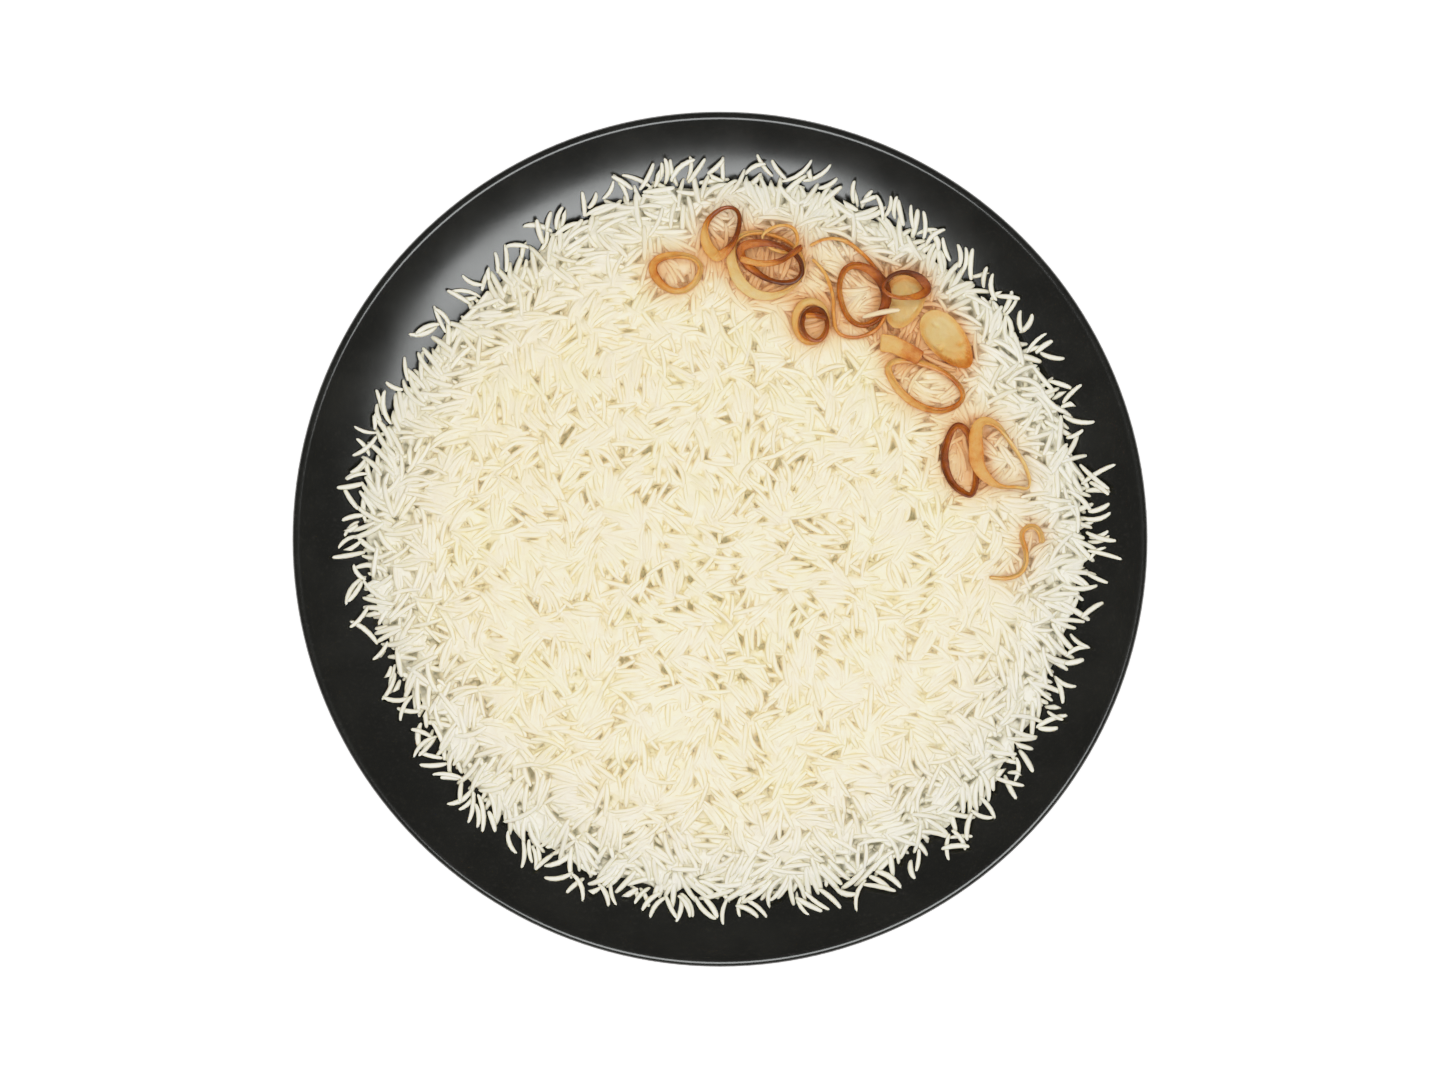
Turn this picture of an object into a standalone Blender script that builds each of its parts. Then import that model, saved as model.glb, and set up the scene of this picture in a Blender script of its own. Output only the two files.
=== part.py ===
# A round black plate heaped with long-grain white rice, with fried onion pieces lying on top.
# Units are metres and +Z is up. The origin is the middle of the underside of the foot ring.
# Seen from above, +X is to the right and +Y is towards the top of the plate.

import math
import random
from collections import namedtuple

import bmesh
import bpy
from mathutils import Vector, geometry
from mathutils.bvhtree import BVHTree

MM = 0.001
GAP = 0.35 * MM  # clearance between pieces that touch

# Plate
PLATE_STEPS = 60
RIM_RADIUS = 160 * MM
FLOOR_RADIUS = 112 * MM
WALL_THICKNESS = 4.4 * MM
RIM_RISE = 16 * MM  # from the floor's upper face to the crest of the lip
FOOT_HEIGHT = 2.6 * MM
FOOT_OUTER_RADIUS = 100 * MM
FOOT_INNER_RADIUS = 92 * MM
FOOT_TAPER = 1 * MM
WALL_STEPS = 5
LIP_STEPS = 4
FLOOR_Z = FOOT_HEIGHT + WALL_THICKNESS

# Rice heap: its outline is a circle with a few slow waves, each an order, a size and a phase
RICE_RADIUS = 135 * MM
OUTLINE_WAVES = (
    (1, 3.0 * MM, 18.5),
    (3, 1.1 * MM, 177),
    (4, 1.1 * MM, 7),
    (5, 1.3 * MM, -111),
    (6, 0.7 * MM, 9),
)
OUTLINE_POINTS = 96
OUTLINE_JITTER = 1.4 * MM
EDGE_DEPTH = 2.4 * MM
CROWN_Z = 32.5 * MM
HEAP_POWER = 2.5  # how blunt the heap is: 2 is a paraboloid
LUMP_HEIGHT = 0.8 * MM
LUMP_LENGTH = 21 * MM
WALL_ALLOWANCE = 0.3 * MM  # the plate's wall is faceted, so its chords stand proud of the true arc
UNDERSIDE_RADII = (124 * MM, FLOOR_RADIUS - 2 * MM)

# Grain-sized bumps on the heap
BUMP_TRIES = 30000
BUMP_HALF_LENGTH = 4.4 * MM
BUMP_HALF_WIDTH = 2.3 * MM
BUMP_SPACING = 4.5 * MM
BUMP_RISE = 0.85 * MM
BUMP_DIP = 0.7 * MM
BUMP_EDGE_MARGIN = 2.5 * MM

# Loose grains, fused to the heap
GRAIN_LENGTHS = (11.5 * MM, 15.5 * MM)
GRAIN_RADIUS = 1.15 * MM
GRAIN_SIDES = 4
GRAIN_RINGS = 4
GRAIN_BLUNTNESS = 0.55
GRAIN_RING_SHARE = 0.92  # draws the rings in from the two ends
GRAIN_BEND = 0.16  # sideways bow as a share of the length
EDGE_GRAINS = 76
EDGE_GRAIN_REACH = (1.0 * MM, 8.5 * MM)  # how far a grain's middle lies outside the heap's edge
EDGE_GRAIN_SPREAD = 55  # degrees either side of straight out
TOP_GRAINS = 30
TOP_GRAIN_SPACING = 21 * MM
TOP_GRAIN_TRIES = 400  # before the spacing shrinks
TOP_GRAIN_SHRINK = 0.85
TOP_GRAIN_LEAST_SPACING = 4 * MM
TOP_GRAIN_MARGIN = 10 * MM  # inside the heap's outline
TOP_GRAIN_SHOWING = 0.45  # of the radius, from the heap's face to the grain's axis
TOPPING_CLEARANCE = 5.2 * MM  # from a loose grain's axis to the middle of a band

# Onion pieces
RIBBON = 1.2 * MM  # thickness of one layer of onion
STATION_LENGTH = 3.1 * MM
WIDENING = 1.8  # how soon a ring's band narrows away from its widest place
SLACK_STEPS = 26  # how tightly a ring bridges the hollows under it
RAY_TOP = 0.1
CURVE_STEPS = 8
WIDTH_SHARES = (0, 0.25, 0.5, 0.75, 1)  # where a ribbon's underside is tested, across its section
STEP_SHARES = (-0.55, -0.25, 0, 0.25, 0.55)  # and either side of a station, in station lengths
ROUND = 2 * math.pi

Ring = namedtuple("Ring", "name tone centre radii turn egg lobes widths widest depth lean")
# A closed ring, cut from one layer. centre and radii of its outside are in mm, and turn is in degrees.
# egg narrows the end at +turn, and lobes gives size and phase of a three-lobed bend. widths is how
# wide the band looks from above, in mm, at its narrowest and at its widest, which faces the compass
# direction widest. depth is how wide the layer was cut, in mm, so the band stands up where it looks
# narrow. It leans in (1) or out (-1).
RINGS = (
    Ring("onion_ring_01", "golden", (-16.2, 99.6), (10.6, 8.4), 177, -0.03,
         (0.06, 66), (2.7, 3.7), 170, 3.2, 1),
    Ring("onion_ring_02", "brown", (0.3, 113.9), (11.3, 7.5), -109, 0.22,
         (0.08, -135), (1.6, 4.8), 238, 2.8, 1),
    Ring("onion_ring_03", "golden", (16.0, 102.6), (15.4, 13.2), 156, 0.19,
         (0.06, 129), (1.7, 4.9), 215, 2.6, 1),
    Ring("onion_ring_04", "pale", (22.6, 111.8), (7.2, 5.7), 175, 0.1,
         (0.05, -22), (1.2, 1.4), 90, 2.0, -1),
    Ring("onion_ring_05", "brown", (19.1, 103.1), (13.7, 7.9), 157, -0.09,
         (0.05, -11), (2.0, 3.9), 160, 2.3, -1),
    Ring("onion_ring_06", "golden", (33.8, 81.0), (9.3, 7.6), 92, 0.0,
         (0.0, 0), (2.5, 3.6), 110, 2.6, 1),
    Ring("onion_ring_07", "brown", (35.2, 79.9), (7.0, 5.6), -82, 0.07,
         (0.03, -45), (1.5, 2.9), 95, 2.2, -1),
    Ring("onion_ring_08", "brown", (53.3, 91.5), (12.7, 10.1), 106, 0.13,
         (0.05, -113), (2.3, 4.6), 20, 3.2, -1),
    Ring("onion_ring_09", "brown", (69.2, 94.1), (9.8, 6.2), 179, 0.0,
         (0.05, -95), (1.6, 3.9), -5, 2.8, -1),
    Ring("onion_ring_10", "golden", (76.0, 57.2), (16.4, 9.0), 155, 0.08,
         (0.04, 81), (2.3, 3.4), 215, 3.2, 1),
    Ring("onion_ring_11", "brown", (89.5, 28.5), (14.3, 7.2), -81, 0.21,
         (0.1, -130), (2.7, 3.5), 185, 3.2, -1),
    Ring("onion_ring_12", "pale", (103.8, 29.6), (15.8, 9.6), 128, -0.34,
         (0.14, 61), (1.4, 6.0), 176, 3.0, 1),
)

Strand = namedtuple("Strand", "name tone route widths depth lean")
# An open piece: the route's points in mm, and widths its width seen from above at its two ends.
STRANDS = (
    Strand("onion_strand_01", "brown",
           ((7.5, 104.2), (14.9, 102.3), (22.4, 103.1), (27.0, 106.0), (30.6, 108.6)),
           (3.0, 2.2), 2.4, 1),
    Strand("onion_strand_02", "pale",
           ((33.4, 109.2), (38.6, 111.7), (45.9, 111.4), (53.8, 105.8), (60.4, 96.8), (62.1, 89.3),
            (59.1, 79.0), (50.4, 75.1), (43.8, 77.0), (42.4, 84.0), (42.2, 91.3), (38.9, 99.4),
            (34.4, 104.6)),
           (1.3, 1.5), 2.4, 1),
    Strand("onion_strand_03", "brown",
           ((31.6, 82.7), (35.4, 82.8), (39.4, 81.9)),
           (2.4, 1.9), 2.4, 1),
    Strand("onion_strand_04", "golden",
           ((59.4, 73.0), (64.2, 72.4), (69.4, 69.8), (74.6, 67.0)),
           (7.2, 6.0), 6.0, 1),
    Strand("onion_strand_05", "pale",
           ((100.2, -13.9), (107.4, -14.4), (112.4, -12.2), (114.2, -7.6), (113.6, -3.0),
            (112.2, 0.9), (113.6, 4.2), (117.4, 4.8), (119.9, 1.8), (119.9, -1.6)),
           (1.5, 3.0), 3.0, -1),
)

Film = namedtuple("Film", "name tone centre radii turn egg rim dish film")
# The slices that kept their inner skin: a rim with a thin dished film across it, sizes in mm
FILMS = (
    Film("onion_slice_01", "pale", (84.8, 74.3), (13.1, 7.2), -50, 0.18, 2.2, 1.0, 0.9),
    Film("onion_slice_02", "pale", (68.3, 88.5), (10.5, 7.6), -109, 0.21, 1.7, 0.6, 0.8),
)
FILM_RIM_SHARE = 0.78
FILM_STATIONS = 20
FILM_REST_SHARES = (0.2, 0.4, 0.6, 0.8, 1.03)  # of the outline, where the slice is tested for rest
FILM_SLOPE_STEP = 4 * MM

# Order in which the toppings came down: a later one lies over an earlier one
LAYING_ORDER = (
    "onion_ring_01", "onion_ring_03", "onion_ring_02", "onion_ring_04",
    "onion_ring_05", "onion_strand_01", "onion_slice_02", "onion_ring_06",
    "onion_strand_02", "onion_ring_07", "onion_strand_03", "onion_ring_08",
    "onion_ring_09", "onion_ring_10", "onion_strand_04", "onion_slice_01",
    "onion_ring_11", "onion_ring_12", "onion_strand_05",
)

COLOURS = {  # base colour, roughness
    "plate": ((0.017, 0.017, 0.016, 1), 0.38),
    "rice": ((0.86, 0.82, 0.66, 1), 0.55),
    "pale": ((0.56, 0.36, 0.15, 1), 0.40),
    "golden": ((0.60, 0.27, 0.06, 1), 0.38),
    "brown": ((0.30, 0.075, 0.018, 1), 0.36),
}


def clear_scene():
    for old in list(bpy.data.objects):
        bpy.data.objects.remove(old, do_unlink=True)


def make_material(name):
    colour, roughness = COLOURS[name]
    material = bpy.data.materials.new(name)
    material.use_nodes = True
    shader = material.node_tree.nodes["Principled BSDF"]
    shader.inputs["Base Color"].default_value = colour
    shader.inputs["Roughness"].default_value = roughness
    shader.inputs["Metallic"].default_value = 0.0
    material.diffuse_color = colour
    return material


def object_from(name, mesh_or_bmesh, collection, material=None):
    """A new object in the collection, from a mesh or from a bmesh that is then freed."""
    mesh = mesh_or_bmesh
    if isinstance(mesh_or_bmesh, bmesh.types.BMesh):
        mesh = bpy.data.meshes.new(name)
        mesh_or_bmesh.to_mesh(mesh)
        mesh_or_bmesh.free()
    made = bpy.data.objects.new(name, mesh)
    collection.objects.link(made)
    if material:
        mesh.materials.append(material)
    return made


# Plate

def wall_arc():
    """Radius of the wall's inner face and the angle that it turns through."""
    half = WALL_THICKNESS / 2
    run = RIM_RADIUS - half - FLOOR_RADIUS
    angle = 2 * math.atan2(RIM_RISE, run)
    return run / math.sin(angle) - half, angle


def wall_point(offset, angle):
    """A point on the wall, this far outside its inner face, at this angle round the wall's arc."""
    radius = wall_arc()[0]
    return (
        FLOOR_RADIUS + (radius + offset) * math.sin(angle),
        FLOOR_Z + radius - (radius + offset) * math.cos(angle),
    )


def plate_profile():
    """Half section of the plate: floor, inner wall, round lip, outer wall, underside and foot ring."""
    end = wall_arc()[1]
    points = [(0, FLOOR_Z)]
    points += [wall_point(0, end * i / WALL_STEPS) for i in range(WALL_STEPS)]
    crest_x, crest_z = wall_point(WALL_THICKNESS / 2, end)
    for i in range(LIP_STEPS + 1):
        turn = end + math.pi / 2 - math.pi * i / LIP_STEPS
        points.append((
            crest_x + WALL_THICKNESS / 2 * math.cos(turn),
            crest_z + WALL_THICKNESS / 2 * math.sin(turn),
        ))
    points += [wall_point(WALL_THICKNESS, end * i / WALL_STEPS) for i in reversed(range(WALL_STEPS))]
    points += [
        (FOOT_OUTER_RADIUS + FOOT_TAPER, FOOT_HEIGHT),
        (FOOT_OUTER_RADIUS, 0),
        (FOOT_INNER_RADIUS, 0),
        (FOOT_INNER_RADIUS - FOOT_TAPER, FOOT_HEIGHT),
        (0, FOOT_HEIGHT),
    ]
    return points


def make_plate(collection, material):
    points = plate_profile()
    mesh = bpy.data.meshes.new("plate")
    mesh.from_pydata([(x, 0, z) for x, z in points], [(i, i + 1) for i in range(len(points) - 1)], [])
    plate = object_from("plate", mesh, collection, material)
    turn = plate.modifiers.new("turn", "SCREW")
    turn.axis = "Z"
    turn.steps = turn.render_steps = PLATE_STEPS
    turn.use_merge_vertices = True
    turn.merge_threshold = 0.00001
    return plate


def plate_top(radius):
    """Height of the plate's inner face at this radius."""
    if radius <= FLOOR_RADIUS:
        return FLOOR_Z
    wall_radius, end = wall_arc()
    angle = min(end, math.asin(min(1, (radius - FLOOR_RADIUS) / wall_radius)))
    return wall_point(0, angle)[1] + WALL_ALLOWANCE


# Rice heap

def outline_radius(angle):
    return RICE_RADIUS + sum(size * math.cos(order * angle + math.radians(phase))
                             for order, size, phase in OUTLINE_WAVES)


def heap_top(x, y):
    """Height of the heap's face before its bumps."""
    radius, angle = math.hypot(x, y), math.atan2(y, x)
    edge = outline_radius(angle)
    edge_z = plate_top(edge) + GAP + EDGE_DEPTH
    share = min(1, radius / edge)
    lump = LUMP_HEIGHT * math.sin(x / LUMP_LENGTH + 0.8) * math.cos(y / LUMP_LENGTH - 0.5)
    lump *= 1 - share ** 4
    return edge_z + (CROWN_Z - edge_z) * (1 - share ** HEAP_POWER) + lump


class Sparse:
    """Points kept at least a spacing apart, found through a square grid of cells."""

    def __init__(self, spacing):
        self.spacing = spacing
        self.cells = {}

    def cell(self, x, y):
        return int(x // self.spacing), int(y // self.spacing)

    def free(self, x, y):
        column, row = self.cell(x, y)
        for i in (-1, 0, 1):
            for j in (-1, 0, 1):
                for px, py in self.cells.get((column + i, row + j), ()):
                    if math.hypot(x - px, y - py) < self.spacing:
                        return False
        return True

    def add(self, x, y):
        self.cells.setdefault(self.cell(x, y), []).append((x, y))


def heap_points(rng):
    """Points of the heap's face in plan with their heights, and the edges along each bump's ridge."""
    points, heights, ridges = [], [], []
    for i in range(OUTLINE_POINTS):
        angle = ROUND * i / OUTLINE_POINTS
        radius = outline_radius(angle) + rng.uniform(-OUTLINE_JITTER, OUTLINE_JITTER)
        points.append((radius * math.cos(angle), radius * math.sin(angle)))
        heights.append(plate_top(radius) + GAP + EDGE_DEPTH * rng.uniform(0.75, 1.1))
    sparse = Sparse(BUMP_SPACING)
    for _ in range(BUMP_TRIES):
        radius, angle = RICE_RADIUS * math.sqrt(rng.random()), ROUND * rng.random()
        x, y, heading = radius * math.cos(angle), radius * math.sin(angle), math.pi * rng.random()
        along = (math.cos(heading) * BUMP_HALF_LENGTH, math.sin(heading) * BUMP_HALF_LENGTH)
        across = (-math.sin(heading) * BUMP_HALF_WIDTH, math.cos(heading) * BUMP_HALF_WIDTH)
        crest = [(x - along[0], y - along[1]), (x + along[0], y + along[1])]
        sides = [(x - across[0], y - across[1]), (x + across[0], y + across[1])]
        inside = all(math.hypot(px, py) < outline_radius(math.atan2(py, px)) - BUMP_EDGE_MARGIN
                     for px, py in crest + sides)
        if not inside or not all(sparse.free(px, py) for px, py in crest + sides):
            continue
        ridges.append((len(points), len(points) + 1))
        for offset, group in ((BUMP_RISE, crest), (-BUMP_DIP, sides)):
            for px, py in group:
                sparse.add(px, py)
                points.append((px, py))
                heights.append(heap_top(px, py) + offset * rng.uniform(0.6, 1.2))
    return points, heights, ridges


def make_heap(collection, material, rng):
    """The heap without its loose grains: a bumpy face over an underside that follows the plate."""
    points, heights, ridges = heap_points(rng)
    border = [(i, (i + 1) % OUTLINE_POINTS) for i in range(OUTLINE_POINTS)]
    plan, _, faces, sources = geometry.delaunay_2d_cdt(
        [Vector(p) for p in points], border + ridges, [], 1, 1e-7)[:4]
    bm = bmesh.new()
    top = []
    for p, source in zip(plan, sources):
        # a point with no source is where two ridges cross
        z = heights[source[0]] if source else heap_top(p.x, p.y) + BUMP_RISE
        top.append(bm.verts.new((p.x, p.y, z)))
    for face in faces:
        bm.faces.new([top[i] for i in face])
    rim = [next(v for v, source in zip(top, sources) if i in source) for i in range(OUTLINE_POINTS)]
    for radius in (None,) + UNDERSIDE_RADII:
        loop = []
        for vert in rim:
            reach = math.hypot(vert.co.x, vert.co.y)
            share = radius / reach if radius else 1
            z = plate_top(radius or reach) + GAP
            loop.append(bm.verts.new((vert.co.x * share, vert.co.y * share, z)))
        for i in range(OUTLINE_POINTS):
            j = (i + 1) % OUTLINE_POINTS
            bm.faces.new((rim[j], rim[i], loop[i], loop[j]))
        rim = loop
    bm.faces.new(list(reversed(rim)))
    bmesh.ops.recalc_face_normals(bm, faces=bm.faces)
    bmesh.ops.triangulate(bm, faces=bm.faces)
    return object_from("rice", bm, collection, material)


# Onion pieces

def tree_of(made):
    bm = bmesh.new()
    bm.from_mesh(made.data)
    tree = BVHTree.FromBMesh(bm)
    bm.free()
    return tree


def highest(trees, x, y):
    """Height of the topmost face under the point."""
    hits = (tree.ray_cast(Vector((x, y, RAY_TOP)), Vector((0, 0, -1)))[0] for tree in trees)
    return max((hit.z for hit in hits if hit), default=FLOOR_Z)


def ring_outline(ring, angle):
    """A point of the ring's outside in plan."""
    size, phase = ring.lobes
    bulge = 1 + size * math.cos(3 * angle + math.radians(phase))
    u = ring.radii[0] * bulge * math.cos(angle)
    v = ring.radii[1] * bulge * math.sin(angle) * (1 - ring.egg * math.cos(angle))
    turn = math.radians(ring.turn)
    return Vector((ring.centre[0] + u * math.cos(turn) - v * math.sin(turn),
                   ring.centre[1] + u * math.sin(turn) + v * math.cos(turn))) * MM


def ring_plan(ring):
    """Stations along the middle of a ring's band: points in plan, and the width seen at each."""
    count = max(16, round(math.pi * sum(ring.radii) * MM / STATION_LENGTH))
    outside = [ring_outline(ring, ROUND * i / count) for i in range(count)]
    centre = Vector(ring.centre) * MM
    points, widths = [], []
    for spot, way in zip(outside, directions(outside, True)):
        out = spot - centre
        facing = math.atan2(out.y, out.x) - math.radians(ring.widest)
        share = (0.5 + 0.5 * math.cos(facing)) ** WIDENING
        width = (ring.widths[0] + (ring.widths[1] - ring.widths[0]) * share) * MM
        points.append(spot + Vector((-way.y, way.x)) * width / 2)
        widths.append(width)
    return points, widths


def strand_plan(strand):
    """Stations along an open piece, read from a smooth curve through its route's points."""
    route = [Vector(p) * MM for p in strand.route]
    ends = [2 * route[0] - route[1]] + route + [2 * route[-1] - route[-2]]
    fine = []
    for p0, p1, p2, p3 in zip(ends, ends[1:], ends[2:], ends[3:]):
        for i in range(CURVE_STEPS):
            t = i / CURVE_STEPS
            fine.append(0.5 * (2 * p1 + (p2 - p0) * t + (2 * p0 - 5 * p1 + 4 * p2 - p3) * t ** 2
                               + (3 * p1 - p0 - 3 * p2 + p3) * t ** 3))
    fine.append(route[-1])
    lengths = [0]
    for p, q in zip(fine, fine[1:]):
        lengths.append(lengths[-1] + (q - p).length)
    count = max(4, round(lengths[-1] / (0.8 * STATION_LENGTH)))
    points, widths = [], []
    for i in range(count + 1):
        want = lengths[-1] * i / count
        k = min(len(fine) - 2, max(j for j, length in enumerate(lengths) if length <= want + 1e-9))
        points.append(fine[k].lerp(fine[k + 1], (want - lengths[k]) / (lengths[k + 1] - lengths[k])))
        widths.append((strand.widths[0] + (strand.widths[1] - strand.widths[0]) * i / count) * MM)
    return points, widths


def directions(points, closed):
    """Unit direction along the stations at each of them."""
    last = len(points) - 1
    found = []
    for i in range(len(points)):
        before = points[i - 1] if closed or i else points[0]
        after = points[(i + 1) % len(points)] if closed or i < last else points[last]
        found.append((after - before).normalized())
    return found


def ribbon_section(width, depth, lean):
    """Corners of the ribbon's section, across and up, rolled until it looks this wide from above."""
    reach = math.hypot(depth, RIBBON)
    if width > reach:
        depth, reach = math.sqrt(width ** 2 - RIBBON ** 2), width
    roll = max(0, math.asin(min(1, width / reach)) - math.atan2(RIBBON, depth))
    along = Vector((lean * math.sin(roll), math.cos(roll))) * depth / 2
    through = Vector((math.cos(roll), -lean * math.sin(roll))) * RIBBON / 2
    return [-along - through, -along + through, along + through, along - through]


def rest_on(trees, points, sections, closed):
    """Heights at which a limp ribbon comes to rest: clear of whatever is under each station, and pulled
    straight between the high places."""
    floors = []
    for point, section, way in zip(points, sections, directions(points, closed)):
        side = Vector((-way.y, way.x))
        floor = 0
        for first, second in ((section[0], section[3]), (section[1], section[2])):
            for share in WIDTH_SHARES:
                corner = first.lerp(second, share)
                for step in STEP_SHARES:
                    spot = point + way * step * STATION_LENGTH + side * corner.x
                    floor = max(floor, highest(trees, spot.x, spot.y) + GAP - corner.y)
        floors.append(floor)
    heights = list(floors)
    for _ in range(SLACK_STEPS):
        before = heights[-1:] + heights[:-1] if closed else heights[:1] + heights[:-1]
        after = heights[1:] + heights[:1] if closed else heights[1:] + heights[-1:]
        heights = [max(floor, (b + a) / 2) for floor, b, a in zip(floors, before, after)]
    return heights


def make_ribbon(piece, plan, trees, closed):
    """A four-sided ribbon through the stations of its plan, at rest on what lies under it."""
    points, widths = plan
    sections = [ribbon_section(width, piece.depth * MM, piece.lean) for width in widths]
    bm = bmesh.new()
    loops = []
    heights = rest_on(trees, points, sections, closed)
    for point, section, z, way in zip(points, sections, heights, directions(points, closed)):
        side = Vector((-way.y, way.x))
        loop = []
        for corner in section:
            spot = point + side * corner.x
            loop.append(bm.verts.new((spot.x, spot.y, z + corner.y)))
        loops.append(loop)
    for first, second in zip(loops, loops[1:] + loops[:1] if closed else loops[1:]):
        for i in range(4):
            j = (i + 1) % 4
            bm.faces.new((first[i], first[j], second[j], second[i]))
    if not closed:
        bm.faces.new(loops[0])
        bm.faces.new(reversed(loops[-1]))
    bmesh.ops.recalc_face_normals(bm, faces=bm.faces)
    bmesh.ops.triangulate(bm, faces=bm.faces)
    return bm, points


def make_film(piece, trees):
    """A dished slice with a thick rim, laid rigid on the slope of the heap."""
    a, b = (r * MM for r in piece.radii)
    turn = math.radians(piece.turn)
    centre = Vector(piece.centre) * MM
    step = FILM_SLOPE_STEP
    slope = Vector((
        heap_top(centre.x + step, centre.y) - heap_top(centre.x - step, centre.y),
        heap_top(centre.x, centre.y + step) - heap_top(centre.x, centre.y - step),
    )) / (2 * step)

    def at(angle, share):
        u = a * math.cos(angle) * share
        v = b * math.sin(angle) * share * (1 - piece.egg * math.cos(angle))
        return Vector((
            u * math.cos(turn) - v * math.sin(turn),
            u * math.sin(turn) + v * math.cos(turn),
        ))

    angles = [ROUND * i / FILM_STATIONS for i in range(FILM_STATIONS)]
    spots = [at(angle, share) for angle in angles for share in FILM_REST_SHARES]
    lift = max(highest(trees, *(centre + spot)) - slope.dot(spot) for spot in spots) + GAP
    rim, film = piece.rim * MM, piece.film * MM
    layers = (  # share of the outline, height above the lowest face
        (0.0, 0.0), (FILM_RIM_SHARE, 0.0), (1.0, 0.25 * rim), (1.0, rim),
        (FILM_RIM_SHARE, film + piece.dish * MM * 0.4), (0.0, film),
    )
    bm = bmesh.new()
    loops = []
    for share, rise in layers:
        loop = []
        for angle in angles if share else angles[:1]:
            spot = at(angle, share)
            z = lift + slope.dot(spot) + rise
            loop.append(bm.verts.new((centre.x + spot.x, centre.y + spot.y, z)))
        loops.append(loop)
    for lower, upper in zip(loops, loops[1:]):
        for i in range(FILM_STATIONS):
            j = (i + 1) % FILM_STATIONS
            corners = [lower[i % len(lower)], lower[j % len(lower)]]
            corners += [upper[j % len(upper)], upper[i % len(upper)]]
            bm.faces.new(list(dict.fromkeys(corners)))
    bmesh.ops.recalc_face_normals(bm, faces=bm.faces)
    bmesh.ops.triangulate(bm, faces=bm.faces)
    return bm, [centre + at(angle, share) for angle in angles for share in (0.3, 0.65, 1.0)]


def make_toppings(collection, materials, heap):
    """Every onion piece, laid on the heap and on those before it. Returns their points in plan."""
    pieces = {piece.name: piece for piece in RINGS + STRANDS + FILMS}
    trees = [tree_of(heap)]
    covered = []
    for name in LAYING_ORDER:
        piece = pieces[name]
        if piece in FILMS:
            bm, points = make_film(piece, trees)
        elif piece in RINGS:
            bm, points = make_ribbon(piece, ring_plan(piece), trees, True)
        else:
            bm, points = make_ribbon(piece, strand_plan(piece), trees, False)
        trees.append(tree_of(object_from(name, bm, collection, materials[piece.tone])))
        covered += points
    return covered


# Loose grains

def make_grain(length, bow, middle, heading, heights):
    """One grain: a few-sided ball drawn out along a bowed line, its axis at the height given."""
    bm = bmesh.new()
    bmesh.ops.create_uvsphere(bm, u_segments=GRAIN_SIDES, v_segments=GRAIN_RINGS, radius=1)
    way = Vector((math.cos(heading), math.sin(heading)))
    side = Vector((-way.y, way.x))
    for vert in bm.verts:
        at_end = abs(vert.co.z) > 0.99
        along = vert.co.z if at_end else vert.co.z * GRAIN_RING_SHARE
        girth = math.hypot(vert.co.x, vert.co.y)
        fat = (1 - along ** 2) ** (GRAIN_BLUNTNESS / 2) / girth if girth > 1e-6 else 0
        spot = middle + way * along * length / 2 + side * bow * length * (0.5 - along ** 2)
        across = side * vert.co.x * fat * GRAIN_RADIUS
        z = heights(spot.x, spot.y) + vert.co.y * fat * GRAIN_RADIUS
        vert.co = (spot.x + across.x, spot.y + across.y, z)
    bmesh.ops.recalc_face_normals(bm, faces=bm.faces)
    bmesh.ops.triangulate(bm, faces=bm.faces)
    return bm


def near_topping(covered, spots):
    return any((p - spot).length < TOPPING_CLEARANCE for p in covered for spot in spots)


def lie_on_plate(x, y):
    return plate_top(math.hypot(x, y)) + GAP + GRAIN_RADIUS + 0.1 * MM


def lie_on_heap(x, y):
    return heap_top(x, y) + GRAIN_RADIUS * TOP_GRAIN_SHOWING


def make_grains(collection, covered, rng):
    """Grains that stick out all round the heap's edge, then loose ones spread over its face."""
    for i in range(EDGE_GRAINS):
        angle = ROUND * (i + rng.uniform(0.1, 0.9)) / EDGE_GRAINS
        length = rng.uniform(*GRAIN_LENGTHS)
        heading = angle + math.radians(rng.uniform(-EDGE_GRAIN_SPREAD, EDGE_GRAIN_SPREAD))
        bow = rng.uniform(-GRAIN_BEND, GRAIN_BEND)
        reach = outline_radius(angle) + rng.uniform(*EDGE_GRAIN_REACH) - length * 0.25
        middle = Vector((math.cos(angle), math.sin(angle))) * reach
        grain = make_grain(length, bow, middle, heading, lie_on_plate)
        object_from(f"edge_grain_{i}", grain, collection)
    sparse = Sparse(TOP_GRAIN_SPACING)
    made = 0
    while made < TOP_GRAINS and sparse.spacing > TOP_GRAIN_LEAST_SPACING:
        for _ in range(TOP_GRAIN_TRIES):
            radius = (RICE_RADIUS - TOP_GRAIN_MARGIN) * math.sqrt(rng.random())
            angle = ROUND * rng.random()
            middle = Vector((radius * math.cos(angle), radius * math.sin(angle)))
            heading, length = math.pi * rng.random(), rng.uniform(*GRAIN_LENGTHS)
            way = Vector((math.cos(heading), math.sin(heading))) * length / 2
            if made == TOP_GRAINS or not sparse.free(*middle):
                continue
            if near_topping(covered, [middle - way, middle, middle + way]):
                continue
            sparse.add(*middle)
            bow = rng.uniform(-GRAIN_BEND, GRAIN_BEND)
            grain = make_grain(length, bow, middle, heading, lie_on_heap)
            object_from(f"top_grain_{made}", grain, collection)
            made += 1
        sparse.spacing *= TOP_GRAIN_SHRINK


def shells_of(bm):
    """The separate closed surfaces in a bmesh, each a list of faces."""
    left, shells = set(bm.faces), []
    while left:
        shell, edge = [], [left.pop()]
        while edge:
            face = edge.pop()
            shell.append(face)
            for other in {f for e in face.edges for f in e.link_faces} & left:
                left.remove(other)
                edge.append(other)
        shells.append(shell)
    return shells


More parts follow.
